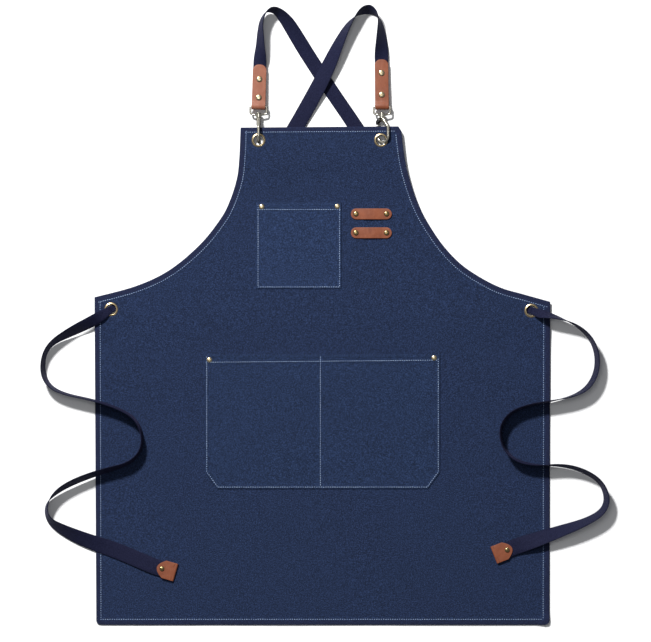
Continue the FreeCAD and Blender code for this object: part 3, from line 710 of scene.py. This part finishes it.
def cloth_piece(outline, rows, columns_at, height, holes, hem, lift):
    """A sheet over rows of y, with each row's x values, holes cut and the hem raised."""
    plan = [[(x, y) for x in columns_at(y)] for y in rows]
    width = len(plan[0])
    flat = np.array([point for row in plan for point in row])
    gaps = distance_to(outline, flat)
    points = []
    for (x, y), gap in zip(flat, gaps):
        pucker = 0.00012 * noise.noise(Vector((x * 190, y * 190, 2.0)))
        pucker *= math.exp(-((gap - hem) / 0.004) ** 2)
        points.append(Vector((x, y, height(x, y) + hem_lift(gap, hem, lift) + pucker)))
    mesh = mesh_of(points, grid_faces(len(plan), width))
    work = bmesh.new()
    work.from_mesh(mesh)
    for x, y, radius in holes:
        inside = [face for face in work.faces
                  if math.hypot(face.calc_center_median().x - x,
                                face.calc_center_median().y - y) < radius]
        bmesh.ops.delete(work, geom=inside, context="FACES")
        for vertex in work.verts:
            away = Vector((vertex.co.x - x, vertex.co.y - y, 0))
            if vertex.is_boundary and away.length < radius * 1.6:
                vertex.co.xy = Vector((x, y)) + away.xy.normalized() * radius
    work.to_mesh(mesh)
    work.free()
    return mesh


def corner_lift(x, y):
    """The right bottom corner curls up a little."""
    return 0.0028 * smoothstep(0.025, 0.0, math.hypot(x - 0.3485, y - HEM_Y))


def mark_hem(mesh, outline, width):
    """An attribute that is 1 on the folded strip outside the stitching."""
    places = np.empty(len(mesh.vertices) * 3)
    mesh.vertices.foreach_get("co", places)
    gaps = distance_to(outline, places.reshape(-1, 3)[:, :2])
    marks = mesh.attributes.new("hem", "FLOAT", "POINT")
    marks.data.foreach_set("value", np.clip((width - gaps) / 0.0012, 0.0, 1.0).astype(float))


def make_panel(material):
    outline = panel_outline()
    rows = spaced(HEM_Y, BIB_TOP, 0.0032, 0.0012, 0.012)
    rows = sorted(set(rows) | {0.02, 0.027} | {0.018 + 0.0011 * k for k in range(44)})
    shares = spaced(0.0, 1.0, 0.0052, 0.0021, 0.018)

    def columns(y):
        left, right = edges_at(y)
        return [left + (right - left) * share for share in shares]

    grommets = list(BIB_GROMMETS.values()) + list(WAIST_GROMMETS.values())
    holes = [(x, y, GROMMET_HOLE) for x, y in grommets]

    def height(x, y):
        return cloth_top(x, y) - CLOTH / 2 + corner_lift(x, y)

    mesh = cloth_piece(outline, rows, columns, height, holes, *PANEL_HEM)
    for vertex in mesh.vertices:
        if vertex.co.y > 0.25:
            tilt = smoothstep(0.25, BIB_TOP, vertex.co.y) * vertex.co.x * 0.0075
            vertex.co.y += tilt
    mesh = thickened(mesh, CLOTH, CLOTH_EDGE)
    mark_hem(mesh, outline, HEM_TINT_WIDTH)
    piece("apron_panel", mesh, "root", "canvas", material, "apron_body")


def pocket_height(box, bulge):
    """Upper face of a pocket that lies on the panel, a little open at its mouth."""
    x0, y0, x1, y1 = box

    def height(x, y):
        across = max(0.0, 1 - ((x - (x0 + x1) / 2) / ((x1 - x0) / 2)) ** 2)
        up = smoothstep(y0, y1, y)
        rumple = 0.0003 * noise.noise(Vector((x * 22, y * 22, 6.6)))
        return cloth_top(x, y) + CLOTH * 0.95 + bulge * across * up + rumple

    return height


def make_pocket(name, box, chamfer, bulge, hem, material, node):
    x0, y0, x1, y1 = box
    dx, dy = chamfer
    outline = np.array([(x0 + dx, y0), (x1 - dx, y0), (x1, y0 + dy), (x1, y1), (x0, y1),
                        (x0, y0 + dy)])
    rows = sorted(set(spaced(y0, y1, 0.0028, 0.001, 0.012)) | {y0 + dy})
    shares = spaced(0.0, 1.0, 0.0028 / (x1 - x0), 0.001 / (x1 - x0), 0.012 / (x1 - x0))

    def columns(y):
        inset = dx * max(0.0, 1 - (y - y0) / dy) if dy else 0.0
        return [x0 + inset + (x1 - x0 - 2 * inset) * share for share in shares]

    height = pocket_height(box, bulge)

    def middle(x, y):
        band = 0.0005 * (1 - smoothstep(hem, hem + 0.0018, y1 - y))
        return height(x, y) - CLOTH / 2 + band

    mesh = cloth_piece(outline, rows, columns, middle, [], *POCKET_HEM)
    mesh = thickened(mesh, CLOTH, CLOTH_EDGE)
    piece(name, mesh, "root", "canvas", material, node)
    return height


# --- straps and ties ---
def make_shoulder_strap(side, material):
    """The strap in two pieces: a leg that rises from inside the leather tab to the strap's highest
    point, and the rest.
    """
    length = TAB_LENGTH[side]
    inside = [tuple(tab_frame(side) @ Vector((0, length - back, 0))) + (0, 0.02)
              for back in (0.016, 0.006)]
    line = ribbon_line(inside + list(STRAP_ROUTES[side]))
    apex = max(range(len(line)), key=lambda i: line[i][0].y)
    leg_line = line[:apex + 1]
    leg_length = run_length([step[0] for step in leg_line])
    leg = piece(f"{side}_strap_leg", ribbon_mesh(leg_line), None, "webbing", material)
    x, tab_end, z = STRAP_ROUTES[side][0][:3]
    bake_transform(leg)
    rest = piece(f"{side}_strap_run", ribbon_mesh(line[apex:], leg_length), "root", "webbing",
                 material, f"{side}_shoulder_strap")
    rest_length = run_length([step[0] for step in line[apex:]])


def make_waist_tie(side, material):
    inside = tuple(tip_frame(side) @ Vector((0, 0.0165, 0)))
    line = ribbon_line(list(TIE_ROUTES[side]) + [inside + TIE_ROUTES[side][-1][3:]])
    middle = [step[0] for step in line]
    tie = piece(f"{side}_tie_tape", ribbon_mesh(line), "root", "webbing", material,
                f"{side}_waist_tie")
    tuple(middle[0])
    run_length(middle)


# --- leather ---
def tab_frame(side):
    x, y, z = RING[side]
    return (Matrix.Translation((x, y, z)) @ Matrix.Rotation(math.radians(TAB_LEAN[side]), 4, "Z")
            @ Matrix.Rotation(math.radians(TAB_SLOPE[side]), 4, "X"))


def tip_frame(side):
    return (Matrix.Translation(TIP_END[side])
            @ Matrix.Rotation(math.radians(TIP_ANGLE[side] - 90), 4, "Z"))


def folded_leather(frame_matrix, length, width, fold, pinch, core, thickness, round_share,
                   swell, power=2.0):
    """Leather folded round a bar or a tape end: two tongues with rounded ends.

    The grid runs from the upper tongue's end to the fold, round it and back below.
    """
    middle_fold = fold + thickness / 2
    middle_core = core + thickness / 2
    legs = []
    for k in range(25):
        share = k / 24
        y = pinch + (1 - pinch) * (1 - share)
        legs.append((y, middle_core))
    approach = [(pinch * (1 - k / 6), middle_core + (middle_fold - middle_core)
                 * smoothstep(0, 1, k / 6)) for k in range(1, 6)]
    turn = [(-math.sin(math.radians(a)) * middle_fold, math.cos(math.radians(a)) * middle_fold)
            for a in range(0, 181, 15)]
    top = [("leg", y, z) for y, z in legs] + [("near", y, z) for y, z in approach]
    bottom = [(kind, y, -z) for kind, y, z in reversed(top)]
    rows = top + [("turn", y, z) for y, z in turn] + bottom
    points = []
    columns = 15
    for kind, y, z in rows:
        for j in range(columns):
            across = -1 + 2 * j / (columns - 1)
            reach = length
            if kind == "turn":
                at = y
            else:
                end = reach - round_share * width * abs(across) ** power
                at = y * end if kind == "leg" else y * reach
            waist = 1.0 + swell * math.sin(math.pi * min(1.0, max(0.0, at / length)))
            x = across * width / 2 * waist
            ripple = 0.00018 * noise.noise(Vector((x * 160, at * 120, 3.0 + z * 50)))
            crown = -0.0003 * across * across * (1 if z > 0 else -0.3)
            points.append(frame_matrix @ Vector((x, at, z + ripple + crown)))
    return thickened(mesh_of(points, grid_faces(len(rows), columns)), thickness, 0.00045,
                     segments=3)


def make_tab(side, material):
    length = TAB_LENGTH[side]
    mesh = folded_leather(tab_frame(side), length, TAB_WIDTH, fold=0.0035, pinch=0.0085 / length,
                          core=0.0015, thickness=0.0018, round_share=0.32, swell=-0.01, power=3.0)
    return piece(f"{side}_leather_tab", mesh, f"{side}_tab", "leather", material,
                 f"{side}_strap_tab")


def make_tip(side, material):
    mesh = folded_leather(tip_frame(side), TIP_LENGTH, TIP_WIDTH, fold=0.0008, pinch=0.1,
                          core=0.0008, thickness=0.0015, round_share=0.42, swell=0.0)
    return piece(f"{side}_leather_tip", mesh, "root", "leather", material, f"{side}_tie_tip")


def make_loop(name, material):
    """A riveted leather strip that arches a little between its rivets."""
    x0, y0 = LOOPS[name]
    points = []
    rows = 61
    columns = 13
    for i in range(rows):
        x = -LOOP_HALF_LENGTH * math.cos(math.pi * i / (rows - 1))
        over = max(0.0, abs(x) - (LOOP_HALF_LENGTH - LOOP_HALF_WIDTH))
        half = math.sqrt(max(1e-9, LOOP_HALF_WIDTH ** 2 - over ** 2))
        arch = 0.0011 * math.cos(math.pi * x / (2 * LOOP_RIVET)) ** 2 if abs(x) < LOOP_RIVET else 0
        for j in range(columns):
            y = half * (-1 + 2 * j / (columns - 1))
            crown = -0.00025 * (y / LOOP_HALF_WIDTH) ** 2
            base = cloth_top(x0, y0) + 0.0013
            grain = 0.00012 * noise.noise(Vector((x * 210, y * 210, 5.0)))
            points.append(Vector((x0 + x, y0 + y, base + arch + crown + grain)))
    mesh = thickened(mesh_of(points, grid_faces(rows, columns)), 0.0022, 0.0006, segments=3)
    return piece(f"{name}_loop_strip", mesh, "root", "leather", material, f"{name}_leather_loop")


# --- metal ---
def cap_profile(radius, height):
    """A button-like rivet cap: a narrow rim, round shoulders and a nearly flat crown."""
    profile = [(0.0, 0.0), (radius * 0.9, 0.0), (radius * 0.99, height * 0.08),
               (radius, height * 0.2), (radius * 0.97, height * 0.32)]
    for k in range(1, 13):
        angle = math.pi / 2 * k / 12
        profile.append((radius * 0.95 * math.cos(angle) ** 0.75 if k < 12 else 0.0,
                        height * (0.34 + 0.66 * math.sin(angle) ** 0.75)))
    return profile


def make_caps(name, centres, radius, body, material, node, frame_matrix=None, height=0.002):
    parts = [lathe(cap_profile(radius, height), centre, frame_matrix) for centre in centres]
    return piece(name, mesh_of(*joined(parts)), body, "rivet_brass", material, node)


def make_eyelet(side, place, centre, material):
    x, y = centre
    top = rest_height(y) + CLOTH
    mesh = mesh_of(*lathe(EYELET, (x, y, top), sides=72))
    return piece(f"{side}_{place}_grommet", mesh, "root", "grommet_brass", material,
                 f"{side}_{place}_eyelet")


def smooth_copy(name, node, body, slot, material):
    """A node's own surface, with welded seams and smooth shading."""
    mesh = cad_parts[node].data.copy()
    work = bmesh.new()
    work.from_mesh(mesh)
    bmesh.ops.remove_doubles(work, verts=work.verts, dist=0.000004)
    bmesh.ops.dissolve_degenerate(work, edges=work.edges, dist=0.000002)
    work.to_mesh(mesh)
    work.free()
    while mesh.color_attributes:
        mesh.color_attributes.remove(mesh.color_attributes[0])
    mesh.shade_smooth()
    mesh.set_sharp_from_angle(angle=math.radians(38))
    return piece(name, mesh, body, slot, material, node)


def dress_node(node, material):
    """A small hidden or plain node that shows as it is, in its material."""
    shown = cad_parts[node]
    shown.data.materials.clear()
    shown.data.materials.append(material)


# --- stitching ---
def inset_line(points, gap):
    """A plan line moved sideways by gap, to its left."""
    moved = []
    for i, (x, y) in enumerate(points):
        x0, y0 = points[max(i - 1, 0)]
        x1, y1 = points[min(i + 1, len(points) - 1)]
        size = math.hypot(x1 - x0, y1 - y0)
        moved.append((x - (y1 - y0) / size * gap, y + (x1 - x0) / size * gap, 0))
    return moved


def panel_seams():
    hem = HEM_Y + 0.0083
    left_x = -HALF_WIDTH + 0.0085
    right_x = HALF_WIDTH - 0.0098
    left = inset_line(ARMHOLES["left"][2:-1], 0.0088)
    right = inset_line(ARMHOLES["right"][2:-1], -0.0088)
    top = [(-0.1175, 0.2800, 0), (0.112, 0.2818, 0)]
    return [left, right, top,
            [(left_x, 0.0185, 0), (left_x + 0.0012, hem, 0)],
            [(right_x, 0.0115, 0), (right_x - 0.0008, hem, 0)],
            [(left_x + 0.0012, hem, 0), (right_x - 0.0008, hem, 0)]]


def make_stitching(material, chest_height, lower_height):
    panel = stitched_seam(panel_seams(),
                          lambda x, y: cloth_top(x, y) + corner_lift(x, y) + 0.00012)
    piece("panel_topstitch", panel, "root", "thread", material)
    x0, y0, x1, y1 = CHEST_POCKET
    inset = 0.0026
    chest = stitched_seam(
        [[(x0 + 0.002, y1 - 0.0105, 0), (x1 - 0.002, y1 - 0.0105, 0)],
         [(x0 + inset, y1 - 0.004, 0), (x0 + inset, y0 + inset, 0), (x1 - inset, y0 + inset, 0),
          (x1 - inset, y1 - 0.004, 0)]],
        lambda x, y: chest_height(x, y) + THREAD_LIFT)
    piece("chest_pocket_topstitch", chest, "root", "thread", material)
    x0, y0, x1, y1 = LOWER_POCKET
    dx, dy = LOWER_CHAMFER
    lower = stitched_seam(
        [[(x0 + 0.002, y1 - 0.0118, 0), (x1 - 0.002, y1 - 0.0085, 0)],
         [(x0 + inset, y1 - 0.004, 0), (x0 + inset, y0 + dy + 0.001, 0),
          (x0 + dx + 0.001, y0 + inset, 0), (x1 - dx - 0.001, y0 + inset, 0),
          (x1 - inset, y0 + dy + 0.001, 0), (x1 - inset, y1 - 0.004, 0)],
         [(-0.003, y1 - 0.004, 0), (-0.003, y0 + inset, 0)]],
        lambda x, y: lower_height(x, y) + THREAD_LIFT)
    piece("lower_pocket_topstitch", lower, "root", "thread", material)


# --- studio ---
def area_light(name, place, target, size, power):
    data = bpy.data.lights.new(name, "AREA")
    data.shape = "SQUARE"
    data.size = size
    data.energy = power
    made = bpy.data.objects.new(name, data)
    made.location = place
    made.rotation_euler = (Vector(target) - Vector(place)).to_track_quat("-Z", "Y").to_euler()
    made.visible_camera = False
    SCENE.collection.objects.link(made)


def make_studio():
    size = 6.0
    floor = piece("studio_floor", mesh_of(
        [(-size, -size, -0.0004), (size, -size, -0.0004), (size, size, -0.0004),
         (-size, size, -0.0004)], [(0, 1, 2, 3)]), None, "canvas", floor_material())
    area_light("key", (-1.47, 2.70, 3.5), (0, 0, 0), 0.5, 334)
    area_light("overhead", (-0.28, 0.42, 3.2), (0, 0, 0), 1.0, 9)
    world = bpy.data.worlds.new("studio")
    world.use_nodes = True
    world.node_tree.nodes["Background"].inputs["Color"].default_value = rgba(0.93, 0.955, 1.0)
    world.node_tree.nodes["Background"].inputs["Strength"].default_value = 0.19
    SCENE.world = world
    SCENE.view_settings.view_transform = "Standard"


def make_camera():
    data = bpy.data.cameras.new("camera")
    data.lens = 400.0
    data.sensor_width = 36.0
    data.clip_end = 50.0
    camera = bpy.data.objects.new("camera", data)
    camera.location = (0.0048, -0.0094, 11.104)
    SCENE.collection.objects.link(camera)
    SCENE.camera = camera


# --- the apron ---
def make_materials():
    """Every material of the apron, by a short key."""
    return {
        "canvas": canvas_material("navy_canvas", rgba(0.0098, 0.0202, 0.0570)),
        "chest": canvas_material("pocket_canvas_upper", rgba(0.0120, 0.0252, 0.0690)),
        "lower": canvas_material("pocket_canvas_lower", rgba(0.0104, 0.0225, 0.0620)),
        "webbing": webbing_material("strap_webbing", rgba(0.0066, 0.0076, 0.0245),
                                    rgba(0.026, 0.030, 0.075)),
        "leather": leather_material("tan_leather", rgba(0.232, 0.067, 0.028),
                                    rgba(0.170, 0.046, 0.020), rgba(0.33, 0.125, 0.07)),
        # painted light: a lighter copy of the tan leather, standing in for more light falling on the
        # left tab
        "painted_lit_leather": leather_material("tan_leather_painted_lit", rgba(0.272, 0.099, 0.057),
                                 rgba(0.225, 0.073, 0.040), rgba(0.38, 0.17, 0.11)),
        # the last two numbers of each metal set its painted side shade: how dark it gets, and how far
        # from facing up it starts
        "brass": metal_material("antique_brass", srgb(206, 186, 146), srgb(96, 76, 46),
                                0.24, 0.36, 0.85, 0.8),
        "rivet": metal_material("rivet_brass", srgb(216, 200, 164), srgb(112, 92, 54),
                                0.2, 0.34, 0.9, 0.8),
        "aged": metal_material("aged_brass", srgb(172, 150, 104), srgb(72, 58, 32),
                               0.17, 0.32, 0.9, 0.9),
        "nickel": metal_material("nickel_plate", srgb(226, 222, 208), srgb(120, 110, 86),
                                 0.14, 0.28, 1.0, 0.88),
        "black": enamel_material("black_gate", rgba(0.012, 0.012, 0.014)),
        "thread": thread_material("pale_thread", srgb(158, 178, 208), srgb(112, 132, 168)),
    }


def make_tie_and_strap(side, looks):
    tip = make_tip(side, looks["leather"])
    cap = make_caps(f"{side}_tip_cap", [(0, 0.020, 0.0023)], RIVET_RADIUS["tip"], "root",
                    looks["aged"], f"{side}_tip_rivet_cap", tip_frame(side))
    dress_node(f"{side}_tip_rivet_post", looks["rivet"])
    make_waist_tie(side, looks["webbing"])
    make_shoulder_strap(side, looks["webbing"])


def make_cloth(looks):
    """The panel, its pockets and the stitching; returns the pockets' height functions."""
    make_panel(looks["canvas"])
    chest_height = make_pocket("chest_pocket_cloth", CHEST_POCKET, (0, 0), 0.0008, 0.0105,
                               looks["chest"], "chest_pocket")
    lower_height = make_pocket("lower_pocket_cloth", LOWER_POCKET, LOWER_CHAMFER, 0.0014, 0.0115,
                               looks["lower"], "lower_pocket")
    make_stitching(looks["thread"], chest_height, lower_height)
    return chest_height, lower_height


def make_riveted_loop(name, looks):
    make_loop(name, looks["leather"])
    x, y = LOOPS[name]
    z = cloth_top(x, y) + 0.0022
    make_caps(f"{name}_loop_caps", [(x - LOOP_RIVET, y, z), (x + LOOP_RIVET, y, z)],
              RIVET_RADIUS["canvas"], "root", looks["aged"], f"{name}_loop_rivet_caps")
    dress_node(f"{name}_loop_rivet_posts", looks["rivet"])


def make_pocket_rivets(name, places, height, looks):
    make_caps(f"{name}_caps", [(x, y, height(x, y) + 0.0003) for x, y in places],
              RIVET_RADIUS["canvas"], "root", looks["rivet"], f"{name}_rivet_caps")
    dress_node(f"{name}_rivet_posts", looks["rivet"])


def make_clip(side, looks):
    """A leather tab with its rivets, the swivel ring and the snap hook."""
    # the left tab wears the lighter leather copy: painted light for the tab that faces the lamp
    make_tab(side, looks["painted_lit_leather"] if side == "left" else looks["leather"])
    places = [(0, y, 0.0033) for y in TAB_RIVETS[side]]
    make_caps(f"{side}_tab_caps", places, RIVET_RADIUS["tab"], f"{side}_tab", looks["rivet"],
              f"{side}_tab_rivet_caps", tab_frame(side))
    dress_node(f"{side}_tab_rivet_posts", looks["rivet"])
    dress_node(f"{side}_strap_fold", looks["webbing"])
    smooth_copy(f"{side}_hook_wire", f"{side}_hook", f"{side}_hook", "nickel", looks["nickel"])
    smooth_copy(f"{side}_ring", f"{side}_swivel_ring", "root", "nickel", looks["nickel"])
    smooth_copy(f"{side}_gate_lever", f"{side}_gate", f"{side}_gate", "black_gate", looks["black"])
    dress_node(f"{side}_gate_pin", looks["nickel"])
    dress_node(f"{side}_gate_spring", looks["nickel"])


def main():
    make_camera()
    make_studio()
    looks = make_materials()
    for side in SIDES:
        make_tie_and_strap(side, looks)
    chest_height, lower_height = make_cloth(looks)
    for name in LOOPS:
        make_riveted_loop(name, looks)
    make_pocket_rivets("chest_pocket", CHEST_RIVETS, chest_height, looks)
    make_pocket_rivets("lower_pocket", LOWER_RIVETS, lower_height, looks)
    for place, centres in (("bib", BIB_GROMMETS), ("waist", WAIST_GROMMETS)):
        for side, centre in centres.items():
            make_eyelet(side, place, centre, looks["brass"])
            dress_node(f"{side}_{place}_washer", looks["brass"])
    for side in SIDES:
        make_clip(side, looks)


main()
